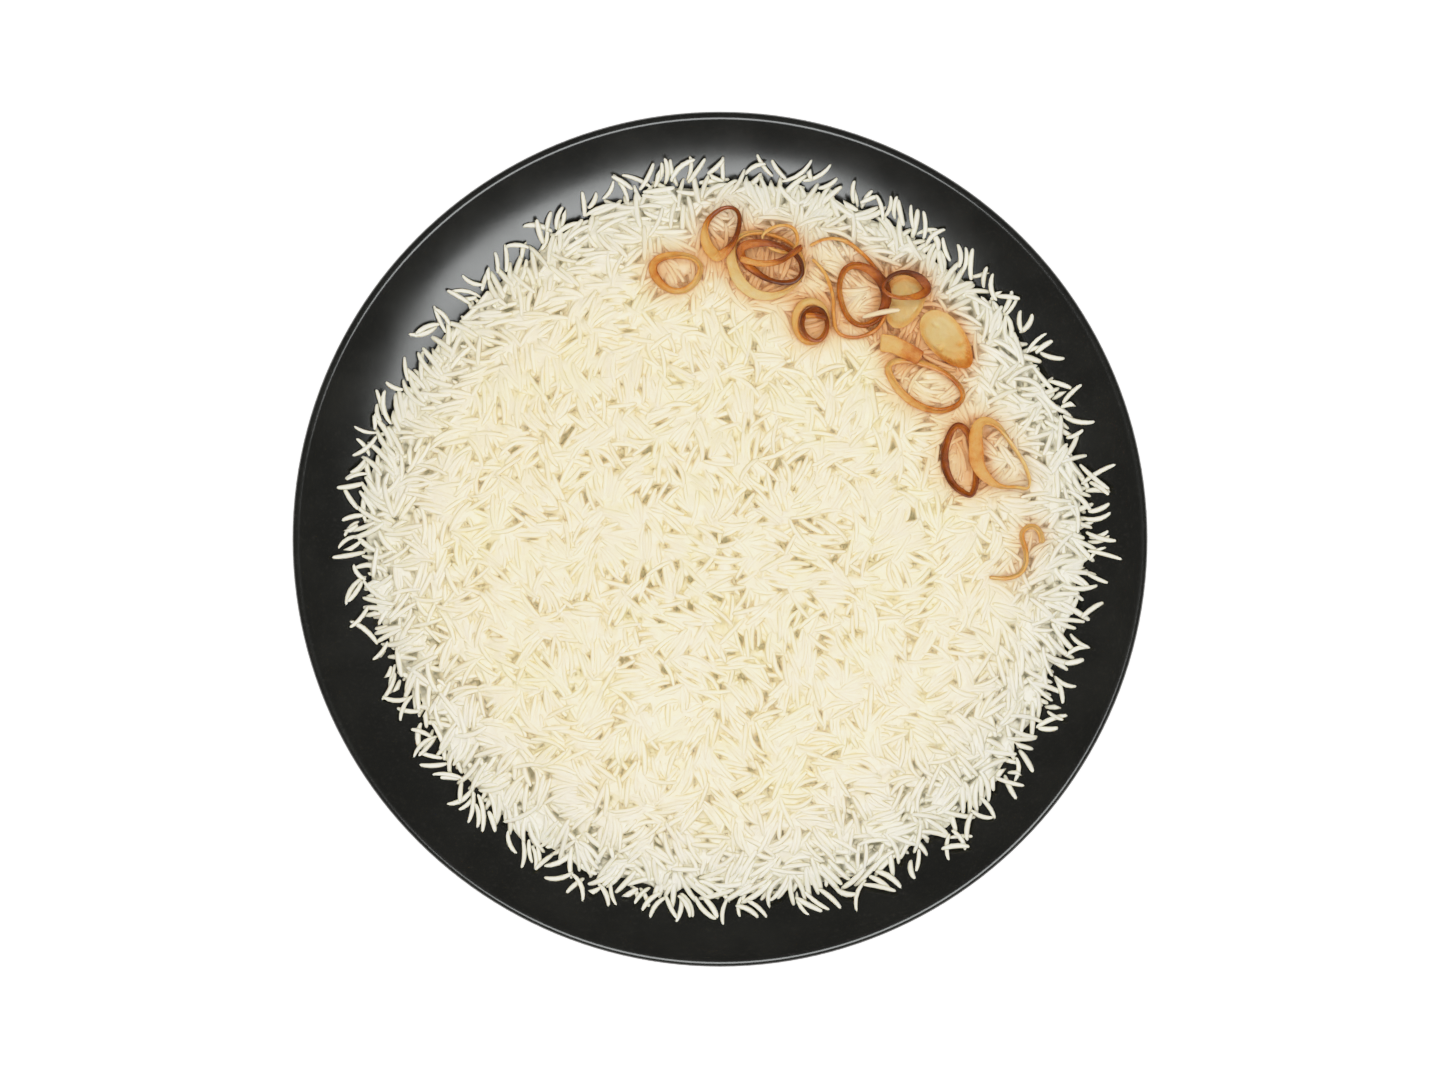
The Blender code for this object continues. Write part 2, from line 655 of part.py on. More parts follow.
def fuse(heap, grains):
    """Joins the grains to the heap, then drops sealed hollows and loose scraps."""
    union = heap.modifiers.new("grains", "BOOLEAN")
    union.operation = "UNION"
    union.operand_type = "COLLECTION"
    union.collection = grains
    union.solver = "EXACT"
    graph = bpy.context.evaluated_depsgraph_get()
    fused = bpy.data.meshes.new_from_object(heap.evaluated_get(graph))
    heap.modifiers.clear()
    bm = bmesh.new()
    bm.from_mesh(fused)
    largest = max(shells_of(bm), key=len)
    bmesh.ops.delete(bm, geom=[f for f in bm.faces if f not in set(largest)], context="FACES")
    bmesh.ops.triangulate(bm, faces=bm.faces)
    bm.to_mesh(heap.data)
    bm.free()
    for grain in list(grains.objects):
        bpy.data.objects.remove(grain, do_unlink=True)
    bpy.data.collections.remove(grains)


def main():
    clear_scene()
    scene = bpy.context.scene
    dish = bpy.data.collections.new("plated_rice")
    grains = bpy.data.collections.new("grains")
    scene.collection.children.link(dish)
    scene.collection.children.link(grains)
    materials = {name: make_material(name) for name in COLOURS}
    make_plate(dish, materials["plate"])
    heap = make_heap(dish, materials["rice"], random.Random(11))
    covered = make_toppings(dish, materials, heap)
    make_grains(grains, covered, random.Random(5))
    fuse(heap, grains)


main()
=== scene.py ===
# Biryani on its plate: a black coupe plate, a heap of long-grain rice and fried onion on top.
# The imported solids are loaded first, then dressed with a turned plate, laid grains and fried bands.

import math

import bmesh
import bpy
import numpy as np
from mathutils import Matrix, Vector, noise
from mathutils.bvhtree import BVHTree


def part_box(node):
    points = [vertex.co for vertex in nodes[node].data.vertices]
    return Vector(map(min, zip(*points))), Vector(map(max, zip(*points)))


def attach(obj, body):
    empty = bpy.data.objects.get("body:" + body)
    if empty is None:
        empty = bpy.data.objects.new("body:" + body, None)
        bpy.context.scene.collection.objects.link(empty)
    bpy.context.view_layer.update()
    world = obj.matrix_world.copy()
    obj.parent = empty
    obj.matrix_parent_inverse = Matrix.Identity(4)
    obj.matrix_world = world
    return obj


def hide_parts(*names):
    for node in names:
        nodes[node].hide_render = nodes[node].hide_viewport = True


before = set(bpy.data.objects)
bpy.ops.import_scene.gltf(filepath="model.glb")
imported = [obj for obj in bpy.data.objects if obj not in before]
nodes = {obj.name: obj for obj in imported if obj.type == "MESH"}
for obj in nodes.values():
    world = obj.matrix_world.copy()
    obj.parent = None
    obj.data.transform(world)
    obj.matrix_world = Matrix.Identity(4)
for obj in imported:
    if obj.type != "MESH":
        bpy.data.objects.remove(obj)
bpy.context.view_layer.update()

mm = 0.001
fullTurn = 2 * math.pi
onionNames = sorted(name for name in nodes if name.startswith("onion_"))
print("loaded", len(nodes), "solids")


# Selecting, editing and finishing

def makeActive(piece):
    bpy.ops.object.select_all(action="DESELECT")
    piece.select_set(True)
    bpy.context.view_layer.objects.active = piece


def startEdit(piece, mode="VERT"):  # the mode is set first, so that it reads that kind of selection
    makeActive(piece)
    bpy.context.tool_settings.mesh_select_mode = [mode == kind for kind in ("VERT", "EDGE", "FACE")]
    bpy.ops.object.mode_set(mode="EDIT")


def leaveEdit():
    bpy.ops.object.mode_set(mode="OBJECT")


def placeInMesh(piece):
    makeActive(piece)
    bpy.ops.object.transform_apply(location=True, rotation=True, scale=True)


def coordinatesOf(mesh):
    flat = np.empty(len(mesh.vertices) * 3)
    mesh.vertices.foreach_get("co", flat)
    return flat.reshape(-1, 3)


def writeAttribute(mesh, name, values):
    layer = mesh.attributes.get(name) or mesh.attributes.new(name, "FLOAT", "POINT")
    layer.data.foreach_set("value", np.asarray(values, np.float32))


def readAttribute(mesh, name):
    values = np.empty(len(mesh.vertices), np.float32)
    mesh.attributes[name].data.foreach_get("value", values)
    return values


def finishPiece(piece, material, slot, *replaced):
    piece.data.materials.clear()
    piece.data.materials.append(material)
    makeActive(piece)
    bpy.ops.object.shade_smooth()
    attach(piece, "root")
    if replaced:
        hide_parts(*replaced)


# Materials

def paint(red, green, blue):  # a colour picked on screen, 0 to 255
    return tuple((c / 255 / 12.92) if c < 10.3 else ((c / 255 + 0.055) / 1.055) ** 2.4
                 for c in (red, green, blue)) + (1.0,)


def newMaterial(name, roughness=0.5, specular=0.5, scatter=0.0, scatterDepth=1 * mm, scatterColour=(1, 1, 1)):
    material = bpy.data.materials.new(name)
    material.use_nodes = True
    tree = material.node_tree
    shader = tree.nodes["Principled BSDF"]
    shader.inputs["Roughness"].default_value = roughness
    shader.inputs["Specular IOR Level"].default_value = specular
    shader.inputs["Subsurface Weight"].default_value = scatter
    shader.inputs["Subsurface Scale"].default_value = scatterDepth
    shader.inputs["Subsurface Radius"].default_value = scatterColour
    return material, tree, shader


def addNode(tree, kind, inputs=None, **settings):
    node = tree.nodes.new("ShaderNode" + kind)
    for name, value in settings.items():
        setattr(node, name, value)
    for name, value in (inputs or {}).items():
        if isinstance(value, bpy.types.NodeSocket):
            tree.links.new(value, node.inputs[name])
        else:
            node.inputs[name].default_value = value
    return node


def mixColours(tree, share, first, second):
    return addNode(tree, "Mix", {0: share, 6: first, 7: second}, data_type="RGBA").outputs[2]


def ramp(tree, value, low, high, toLow=0.0, toHigh=1.0, shape="SMOOTHSTEP"):
    node = addNode(tree, "MapRange", {"Value": value, "From Min": low, "From Max": high,
                                      "To Min": toLow, "To Max": toHigh}, interpolation_type=shape)
    return node.outputs["Result"]


def calculate(tree, operation, first, second=0.0, third=0.0, clamp=False):
    node = addNode(tree, "Math", {0: first, 1: second, 2: third}, operation=operation, use_clamp=clamp)
    return node.outputs[0]


def grainNoise(tree, scale, detail=2.0, rough=0.5):
    place = addNode(tree, "TexCoord").outputs["Object"]
    inputs = {"Vector": place, "Scale": scale, "Detail": detail, "Roughness": rough}
    return addNode(tree, "TexNoise", inputs).outputs["Fac"]


def attribute(tree, name):
    return addNode(tree, "Attribute", attribute_name=name).outputs["Fac"]


def addBump(tree, shader, height, strength, distance):
    bump = addNode(tree, "Bump", {"Strength": strength, "Distance": distance, "Height": height})
    tree.links.new(bump.outputs["Normal"], shader.inputs["Normal"])


def distanceFromAxis(tree):
    place = addNode(tree, "TexCoord").outputs["Object"]
    flat = addNode(tree, "VectorMath", {0: place, 1: (1, 1, 0)}, operation="MULTIPLY").outputs[0]
    return addNode(tree, "VectorMath", {0: flat}, operation="LENGTH").outputs["Value"]


glazeLook = {
    "dark": paint(13, 14, 11),
    "pale": paint(20, 21, 18),
    "roughness": (0.21, 0.26),
    "lipRoughness": 0.2,
    "lipStart": 154 * mm,
    "lipEnd": 156.5 * mm,
    "specular": 0.5,
    "speckle": 900,  # speckles to a metre
    "speckleRange": (0.55, 0.75),
    "speckleColour": paint(44, 44, 42),
    "speckleShow": 0.35,
    "cloud": 45,
    "cloudRange": (0.35, 0.7),
    "satinRange": (0.3, 0.7),
    "bump": 0.05 * mm,
    "bumpScale": 300,
    "bumpStrength": 0.25,
}


def glazeMaterial():
    look = glazeLook
    material, tree, shader = newMaterial("black_satin_glaze", specular=look["specular"])
    cloud = grainNoise(tree, look["cloud"], 4)
    speckle = ramp(tree, grainNoise(tree, look["speckle"], 2), *look["speckleRange"])
    speckle = calculate(tree, "MULTIPLY", speckle, look["speckleShow"])
    colour = mixColours(tree, ramp(tree, cloud, *look["cloudRange"]), look["dark"], look["pale"])
    colour = mixColours(tree, speckle, colour, look["speckleColour"])
    tree.links.new(colour, shader.inputs["Base Color"])
    satin = ramp(tree, cloud, *look["satinRange"], *look["roughness"])
    lip = ramp(tree, distanceFromAxis(tree), look["lipStart"], look["lipEnd"])
    mixed = addNode(tree, "Mix", {0: lip, 2: satin, 3: look["lipRoughness"]}, data_type="FLOAT")
    tree.links.new(mixed.outputs[0], shader.inputs["Roughness"])
    addBump(tree, shader, grainNoise(tree, look["bumpScale"], 3), look["bumpStrength"], look["bump"])
    return material


riceLook = {
    "middle": paint(250, 232, 192),
    "rim": paint(232, 231, 211),
    "rimStart": 88 * mm,
    "rimEnd": 140 * mm,
    "yellowed": paint(246, 232, 184),  # in patches over the middle
    "patchScale": 60,
    "patchRange": (0.4, 0.7),
    "patchShow": 0.55,
    "toneRange": (0.93, 1.04),  # how bright single grains are
    # painted shade: grains and bed are darkened towards these colours the deeper they lie in the gaps between
    # grains
    "gapShadeMiddle": paint(158, 156, 122),  # painted shade down in the gaps, in the middle
    "gapShadeRim": paint(98, 98, 78),
    "stained": paint(214, 162, 112),
    "gapShadeRange": (0.18, 0.6),  # where the painted shade in the gaps starts and is full, as a share of the deepest gap
    "specular": 0.4,
    "roughness": (0.36, 0.52),
    "scatter": 0.3,
    "scatterDepth": 1.5 * mm,
    "scatterColour": (1, 0.85, 0.6),
    "fineScale": 1400,
    "fineRange": (0.3, 0.7),
    "fineBump": 0.06 * mm,
    "lumpScale": 380,
    "bumpStrength": (0.3, 0.6),  # on grains and on the bed
}


def riceMaterial(name, lumps=0.0):
    look = riceLook
    material, tree, shader = newMaterial(name, specular=look["specular"], scatter=look["scatter"],
                                         scatterDepth=look["scatterDepth"],
                                         scatterColour=look["scatterColour"])
    rim = ramp(tree, distanceFromAxis(tree), look["rimStart"], look["rimEnd"])
    colour = mixColours(tree, rim, look["middle"], look["rim"])
    patch = ramp(tree, grainNoise(tree, look["patchScale"], 2), *look["patchRange"], 0.0, look["patchShow"])
    patch = calculate(tree, "MULTIPLY", patch, calculate(tree, "SUBTRACT", 1.0, rim))
    colour = mixColours(tree, patch, colour, look["yellowed"])
    tone = ramp(tree, attribute(tree, "tone"), 0.0, 1.0, *look["toneRange"], "LINEAR")
    toned = addNode(tree, "VectorMath", {0: colour, 3: tone}, operation="SCALE").outputs[0]
    # painted shade: the colour darkens towards the gap shade the deeper a grain or the bed lies in the gaps
    gapShade = mixColours(tree, rim, look["gapShadeMiddle"], look["gapShadeRim"])
    depth = ramp(tree, attribute(tree, "depth"), *look["gapShadeRange"])
    colour = mixColours(tree, depth, toned, gapShade)
    colour = mixColours(tree, attribute(tree, "stain"), colour, look["stained"])
    tree.links.new(colour, shader.inputs["Base Color"])
    fine = grainNoise(tree, look["fineScale"], 2)
    roughness = ramp(tree, fine, *look["fineRange"], *look["roughness"])
    tree.links.new(roughness, shader.inputs["Roughness"])
    height = calculate(tree, "MULTIPLY", fine, look["fineBump"])
    if lumps:
        height = calculate(tree, "MULTIPLY_ADD", grainNoise(tree, look["lumpScale"], 2), lumps, height)
    addBump(tree, shader, height, look["bumpStrength"][bool(lumps)], 1.0)
    return material


# How brown an onion piece is: 0 is barely fried, 1 is nearly burnt
toastColours = (
    (0.0, paint(212, 188, 138)),
    (0.22, paint(206, 168, 104)),
    (0.42, paint(204, 146, 74)),
    (0.6, paint(178, 102, 28)),
    (0.78, paint(130, 62, 9)),
    (1.0, paint(76, 34, 4)),
)
onionFinish = {
    "specular": 0.32,
    "scatterDepth": 1.6 * mm,
    "scatterColour": (1, 0.42, 0.15),
    "filmColour": paint(198, 170, 112),  # where a slice's skin lies on the rice, which shows through
    "filmShow": 0.75,
    "fibreScale": 110,
    "fibreTurns": 2.6,  # how soon the fibres change across a band
    "fibreRange": (0.3, 0.7),
    "fibreToast": (-0.11, 0.11),
    "fibreRoughness": (-0.08, 0.1),
    "blotchScale": 420,
    "blotchRange": (0.3, 0.75),
    "blotchToast": (-0.05, 0.1),
    "blotchBump": 0.4,
    "bump": 0.25 * mm,
    "bumpStrength": 0.5,
}


def onionMaterial(name, roughness, scatter):
    look = onionFinish
    material, tree, shader = newMaterial(name, specular=look["specular"], scatter=scatter,
                                         scatterDepth=look["scatterDepth"],
                                         scatterColour=look["scatterColour"])
    place = addNode(tree, "TexCoord").outputs["Object"]
    across = calculate(tree, "MULTIPLY", attribute(tree, "side"), look["fibreTurns"])
    inputs = {"Vector": place, "W": across, "Scale": look["fibreScale"], "Detail": 3}
    fibre = addNode(tree, "TexNoise", inputs, noise_dimensions="4D").outputs["Fac"]
    blotch = grainNoise(tree, look["blotchScale"], 3, 0.6)
    streaks = ramp(tree, fibre, *look["fibreRange"], *look["fibreToast"], "LINEAR")
    spots = ramp(tree, blotch, *look["blotchRange"], *look["blotchToast"], "LINEAR")
    toast = calculate(tree, "ADD", attribute(tree, "toast"), streaks)
    toast = calculate(tree, "ADD", toast, spots, clamp=True)
    colours = addNode(tree, "ValToRGB", {"Fac": toast})
    stops = colours.color_ramp.elements
    for i, (position, colour) in enumerate(toastColours):
        stop = stops[i] if i < len(stops) else stops.new(position)
        stop.position = position
        stop.color = colour
    thin = calculate(tree, "MULTIPLY", attribute(tree, "thin"), look["filmShow"])
    shown = mixColours(tree, thin, colours.outputs["Color"], look["filmColour"])
    tree.links.new(shown, shader.inputs["Base Color"])
    smoothest, roughest = (roughness + swing for swing in look["fibreRoughness"])
    uneven = ramp(tree, fibre, *look["fibreRange"], smoothest, roughest)
    tree.links.new(uneven, shader.inputs["Roughness"])
    height = calculate(tree, "ADD", fibre, calculate(tree, "MULTIPLY", blotch, look["blotchBump"]))
    addBump(tree, shader, height, look["bumpStrength"], look["bump"])
    return material


glaze = glazeMaterial()
riceSurface = riceMaterial("cooked_rice")
bedSurface = riceMaterial("packed_rice", lumps=1.0 * mm)
onionSurfaces = {
    "onion_pale": onionMaterial("fried_onion_pale", roughness=0.36, scatter=0.3),
    "onion_golden": onionMaterial("fried_onion_golden", roughness=0.34, scatter=0.25),
    "onion_brown": onionMaterial("fried_onion_brown", roughness=0.3, scatter=0.15),
}
print("mixed the materials")


# Plate: a ring is extruded all the way along the section, from the underside's middle to the floor's

plateShape = {
    "sides": 192,
    "floorRadius": 112 * mm,
    "thickness": 4.4 * mm,
    "rise": 16 * mm,  # from the floor to the crest of the lip
    "footHeight": 2.6 * mm,
    "footOuter": 100 * mm,
    "footInner": 92 * mm,
    "footRound": 0.8 * mm,
    "cornerCut": 0.3,  # how far a softened corner of the foot is cut back, as a share of footRound
    "wallSteps": 16,
    "lipSteps": 12,
    "floorSteps": (0.97, 0.8, 0.4),  # rings on the flat floor, as a share of its radius
    "poleRadius": 2 * mm,
}
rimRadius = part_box("plate")[1].x
floorZ = plateShape["footHeight"] + plateShape["thickness"]
wallRun = rimRadius - plateShape["thickness"] / 2 - plateShape["floorRadius"]
wallTurn = 2 * math.atan2(plateShape["rise"], wallRun)
wallRadius = wallRun / math.sin(wallTurn) - plateShape["thickness"] / 2


def wallPoint(offset, angle):  # radius and height, this far outside the inner face, this far round its arc
    return (plateShape["floorRadius"] + (wallRadius + offset) * math.sin(angle),
            floorZ + wallRadius - (wallRadius + offset) * math.cos(angle))


def plateTop(radius):  # height of the inner face
    reach = np.clip((radius - plateShape["floorRadius"]) / wallRadius, 0, math.sin(wallTurn))
    return floorZ + wallRadius * (1 - np.sqrt(1 - reach ** 2))


def roundedCorner(radius, z, inward, outward, size):  # three points for a softened corner of the foot
    middle = [(a + b) * size * plateShape["cornerCut"] for a, b in zip(inward, outward)]
    return [(radius + inward[0] * size, z + inward[1] * size), (radius + middle[0], z + middle[1]),
            (radius + outward[0] * size, z + outward[1] * size)]


def plateSection():
    shape, size = plateShape, plateShape["footRound"]
    inside = shape["footHeight"] - shape["cornerCut"] * size
    section = [(shape["poleRadius"], shape["footHeight"]), (shape["footInner"] * 0.5, shape["footHeight"]),
               (shape["footInner"] - 3 * size, shape["footHeight"]),
               (shape["footInner"] - size, inside)]
    section += roundedCorner(shape["footInner"], 0, (-0.4, 1), (1, 0), size)
    section += roundedCorner(shape["footOuter"], 0, (-1, 0), (0.4, 1), size)
    section += [(shape["footOuter"] + size, inside),
                (shape["footOuter"] + 3 * size, shape["footHeight"])]
    steps = [wallTurn * i / shape["wallSteps"] for i in range(shape["wallSteps"] + 1)]
    section += [wallPoint(shape["thickness"], angle) for angle in steps[:-1]]
    crest = wallPoint(shape["thickness"] / 2, wallTurn)
    for i in range(shape["lipSteps"] + 1):
        turn = wallTurn - math.pi / 2 + math.pi * i / shape["lipSteps"]
        section.append((crest[0] + shape["thickness"] / 2 * math.cos(turn),
                        crest[1] + shape["thickness"] / 2 * math.sin(turn)))
    section += [wallPoint(0, angle) for angle in reversed(steps[:-1])]
    section += [(shape["floorRadius"] * share, floorZ) for share in shape["floorSteps"]]
    return section + [(shape["poleRadius"], floorZ)]


def turnPlate():
    section = plateSection()
    radius, z = section[0]
    bpy.ops.object.select_all(action="DESELECT")
    bpy.ops.mesh.primitive_circle_add(vertices=plateShape["sides"], radius=radius, location=(0, 0, z))
    plate = bpy.context.active_object
    plate.name = plate.data.name = "plate_turned"
    placeInMesh(plate)
    startEdit(plate)
    bpy.ops.mesh.select_all(action="SELECT")
    for nextRadius, nextZ in section[1:]:
        grow = nextRadius / radius
        bpy.ops.mesh.extrude_region_move(TRANSFORM_OT_translate={"value": (0, 0, nextZ - z)})
        bpy.ops.transform.resize(value=(grow, grow, 1), center_override=(0, 0, nextZ))
        radius, z = nextRadius, nextZ
    bpy.ops.mesh.edge_face_add()
    bpy.ops.mesh.select_all(action="DESELECT")
    leaveEdit()
    for vert in plate.data.vertices:
        vert.select = vert.index < plateShape["sides"]
    startEdit(plate)
    bpy.ops.mesh.edge_face_add()
    bpy.ops.mesh.select_all(action="SELECT")
    bpy.ops.mesh.normals_make_consistent(inside=False)
    leaveEdit()
    return plate


plate = turnPlate()
finishPiece(plate, glaze, "plate", "plate")
print("turned the plate:", len(plate.data.polygons), "faces")


# Heap: heights over the plate on a square grid, seen from above

heapShape = {
    "radius": 135 * mm,
    "waves": ((1, 3.0 * mm, 18.5), (3, 1.1 * mm, 177), (4, 1.1 * mm, 7), (5, 1.3 * mm, -111),
              (6, 0.7 * mm, 9)),
    "cell": 0.5 * mm,
    "half": 160 * mm,
    "soften": 9,  # cells
    "stainReach": 19,  # cells that the onion's oil spreads over
    "stainGain": 2.3,
}
cell, half = heapShape["cell"], heapShape["half"]
cellPlaces = np.arange(-half + cell / 2, half, cell)
cellX, cellY = np.meshgrid(cellPlaces, cellPlaces)


def outlineRadius(angle):  # each wave of the outline is an order, a size and a phase
    return heapShape["radius"] + sum(size * np.cos(order * angle + math.radians(phase))
                                     for order, size, phase in heapShape["waves"])


def cellOf(x, y):
    last = len(cellPlaces) - 1
    column = np.clip(((x + half) / cell).astype(int), 0, last)
    row = np.clip(((y + half) / cell).astype(int), 0, last)
    return row, column


def treeOf(*names):
    points, faces = [], []
    for name in names:
        mesh = nodes[name].data
        start = len(points)
        points += [vert.co.copy() for vert in mesh.vertices]
        faces += [[start + i for i in polygon.vertices] for polygon in mesh.polygons]
    return BVHTree.FromPolygons(points, faces)


def rayHeights(tree, startZ, heading, stride, missed):
    # heights that vertical rays meet, cast every few cells and repeated between
    places = cellPlaces[::stride] + cell * (stride - 1) / 2
    heights = np.full((len(places), len(places)), missed)
    for row, y in enumerate(places):
        for column, x in enumerate(places):
            hit = tree.ray_cast(Vector((x, y, startZ)), heading)[0]
            if hit:
                heights[row, column] = hit.z
    return heights.repeat(stride, axis=0).repeat(stride, axis=1)


def soften(heights, width):
    kernel = np.ones(width) / width
    for axis in (0, 1, 0, 1):
        padded = np.pad(heights, [(width, width) if a == axis else (0, 0) for a in (0, 1)], mode="edge")
        heights = np.apply_along_axis(lambda line: np.convolve(line, kernel, mode="same"), axis, padded)
        keep = [slice(width, -width) if a == axis else slice(None) for a in (0, 1)]
        heights = heights[tuple(keep)]
    return heights


up, down = Vector((0, 0, 1)), Vector((0, 0, -1))
overAll = 0.1  # higher than anything on the plate
noOnion = 1.0  # stands for an onion's underside where there is none
plateHeights = plateTop(np.hypot(cellX, cellY))
riceTree = treeOf("rice")
onionTree = treeOf(*onionNames)
riceHeights = rayHeights(riceTree, overAll, down, 2, 0.0)
riceHeights = soften(np.maximum(riceHeights, plateHeights), heapShape["soften"])
onionUnder = rayHeights(onionTree, 0.0, up, 1, noOnion)
onionOver = rayHeights(onionTree, overAll, down, 1, 0.0)
stainMap = soften((onionOver > 0).astype(float), heapShape["stainReach"])
stainMap = np.clip(stainMap * heapShape["stainGain"], 0, 1)
print("mapped the heap, up to", round(float(riceHeights.max()) / mm, 1), "mm")


# Grains: five kinds are modelled once, then laid one by one onto what already lies there

grainKinds = {  # length and radius in mm, bow as a share of the length
    "rice_grains_straight": {"share": 0.26, "length": (11.0, 14.5), "radius": (1.05, 1.22), "bow": 0.02},
    "rice_grains_curved": {"share": 0.26, "length": (11.5, 15.5), "radius": (1.02, 1.2), "bow": 0.09},
    "rice_grains_bent": {"share": 0.19, "length": (12.0, 15.0), "radius": (1.0, 1.16), "bow": 0.16},
    "rice_grains_slim": {"share": 0.19, "length": (10.5, 14.0), "radius": (0.88, 1.04), "bow": 0.07},
    "rice_grains_broken": {"share": 0.10, "length": (10.0, 14.0), "radius": (1.0, 1.18), "bow": 0.04,
                           "cut": 0.1},
}
grainShape = {
    "sides": 6,
    "rings": 7,
    "blunt": 0.6,  # 1 is a plain ellipsoid, less is blunter
    "flat": 0.9,
    "cutSlant": (1, 0.25, 0),
    "bowSwing": (0.3, 1.3),
}
laying = {
    "seed": 64,
    "loose": 5.5 * mm,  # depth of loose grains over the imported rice
    "packedInset": 15 * mm,  # inside the heap's outline
    "tries": 18,
    "headings": 5,
    "looseRim": 17 * mm,  # the grains there lie as they fell, not nestled in
    "passes": (  # room that a grain needs under the heap's face, how far it sinks in as a share of its radius
        (1.1 * mm, 0.2),
        (1.1 * mm, 0.75),
        (0.8 * mm, 1.1),
    ),
    "most": 9800,
    "mostMisses": 350,
    "proudest": 1.5 * mm,  # how far a grain's back may stand over the heap's face
    "edgeProudest": 4.2 * mm,  # and over the plate, where the heap thins out
    "clump": 2.5 * mm,
    "clumpScale": 9,
    "edgeGrains": 620,
    "edgeReach": (-10 * mm, 5 * mm),
    "edgeTurn": 60,  # degrees either side of straight out
    "edgeBow": (0.02, 0.15),
    "edgeSlimness": (0.78, 0.98),
    "furthestTip": 151.5 * mm,
    "edgeTries": 4000,
    "edgeShortness": (0.6, 1.0),
    "steepest": 0.6,
    "sink": 0.12,  # a grain's usual settling, as a share of its radius
    "onionGap": 0.15 * mm,
    "onionPush": 0.9 * mm,  # how far an onion piece may press a grain down
}


def modelGrain(name, kind):  # a unit grain along X, with its bow to +Y
    shape = grainShape
    bpy.ops.object.select_all(action="DESELECT")
    bpy.ops.mesh.primitive_uv_sphere_add(segments=shape["sides"], ring_count=shape["rings"], radius=1)
    grain = bpy.context.active_object
    grain.name = name
    startEdit(grain)
    bpy.ops.mesh.select_all(action="SELECT")
    bpy.ops.transform.rotate(value=math.pi / 2, orient_axis="Y", center_override=(0, 0, 0))
    if "cut" in kind:
        bpy.ops.mesh.bisect(plane_co=(kind["cut"], 0, 0), plane_no=grainShape["cutSlant"], use_fill=True,
                            clear_outer=True)
    leaveEdit()
    for vert in grain.data.vertices:
        ring = math.hypot(vert.co.y, vert.co.z)
        fuller = ring ** shape["blunt"] / ring if ring > 0.001 else 1
        vert.co.y *= fuller
        vert.co.z *= fuller * shape["flat"]
    corners = coordinatesOf(grain.data)
    faces = [list(polygon.vertices) for polygon in grain.data.polygons]
    bpy.data.objects.remove(grain)
    return corners, faces


random = np.random.default_rng(laying["seed"])
heights = plateHeights.copy()  # what already lies there, raised by each grain
inBed = np.hypot(cellX, cellY) < outlineRadius(np.arctan2(cellY, cellX)) - laying["packedInset"]
heights[inBed] = np.maximum(heights, riceHeights - laying["loose"])[inBed]
ceiling = onionUnder - laying["onionGap"]
highest = np.maximum(riceHeights + laying["proudest"], plateHeights + laying["edgeProudest"])
alongSamples = np.linspace(-0.94, 0.94, 9)  # where a grain may touch what lies under it
halfWay = len(alongSamples) // 2
acrossSamples = np.array([-0.6, 0.0, 0.6])
backSamples = np.array([-0.9, -0.6, -0.3, 0.0, 0.3, 0.6, 0.9])  # across its back
backEnd, backStep = 0.97, 0.9  # how far the back reaches, and its samples' spacing in cells
kindNames = list(grainKinds)
kindShares = np.array([grainKinds[name]["share"] for name in kindNames])


def thicknessAlong(along):
    return (1 - along ** 2) ** (grainShape["blunt"] / 2)


def pickGrain():
    kind = random.choice(len(kindNames), p=kindShares)
    look = grainKinds[kindNames[kind]]
    length, radius = random.uniform(*look["length"]) * mm, random.uniform(*look["radius"]) * mm
    bow = look["bow"] * random.uniform(*grainShape["bowSwing"]) * length * random.choice((-1, 1))
    return {"kind": kind, "length": length, "radius": radius, "bow": bow}


def restOn(grain, x, y, headings, ground, settle):
    # Height and slope at which the grain comes to rest, for each heading: the tightest support line
    along = alongSamples * grain["length"] / 2
    bowed = grain["bow"] * (0.5 - alongSamples ** 2)
    thick = thicknessAlong(alongSamples) * grain["radius"]
    cos, sin = np.cos(headings)[:, None, None], np.sin(headings)[:, None, None]
    side = bowed[:, None] + acrossSamples[None, :] * thick[:, None]
    px = x + cos * along[:, None] - sin * side
    py = y + sin * along[:, None] + cos * side
    lift = thick[:, None] * np.sqrt(1 - acrossSamples ** 2) * grainShape["flat"]
    needed = (ground[cellOf(px, py)] + lift).max(axis=2)
    left, right = along[:halfWay], along[halfWay + 1:]
    spread = right[None, :] - left[:, None]
    rise = (needed[:, None, halfWay + 1:] - needed[:, :halfWay, None]) / spread
    middle = needed[:, :halfWay, None] - rise * left[None, :, None]
    flat = middle.reshape(len(headings), -1)
    best = flat.argmax(axis=1)
    rows = np.arange(len(headings))
    slope = rise.reshape(len(headings), -1)[rows, best]
    height = np.maximum(flat[rows, best], needed[:, halfWay])
    steep = np.abs(slope) > laying["steepest"]
    slope = np.clip(slope, -laying["steepest"], laying["steepest"])
    height[steep] = (needed - slope[:, None] * along).max(axis=1)[steep]
    return height - settle * grain["radius"], slope


def footprint(grain):  # places over the whole grain and how high its back is there
    along = np.arange(-backEnd, backEnd + 0.01, backStep * cell / grain["length"] * 2)
    across = backSamples
    thick = thicknessAlong(along)[:, None] * grain["radius"]
    side = grain["bow"] * (0.5 - along[:, None] ** 2) + across * thick
    back = thick * np.sqrt(1 - across ** 2) * grainShape["flat"]
    run = np.broadcast_to((along * grain["length"] / 2)[:, None], side.shape)
    cos, sin = math.cos(grain["heading"]), math.sin(grain["heading"])
    rows, columns = cellOf(grain["x"] + cos * run - sin * side, grain["y"] + sin * run + cos * side)
    return rows, columns, grain["z"] + grain["slope"] * run, back


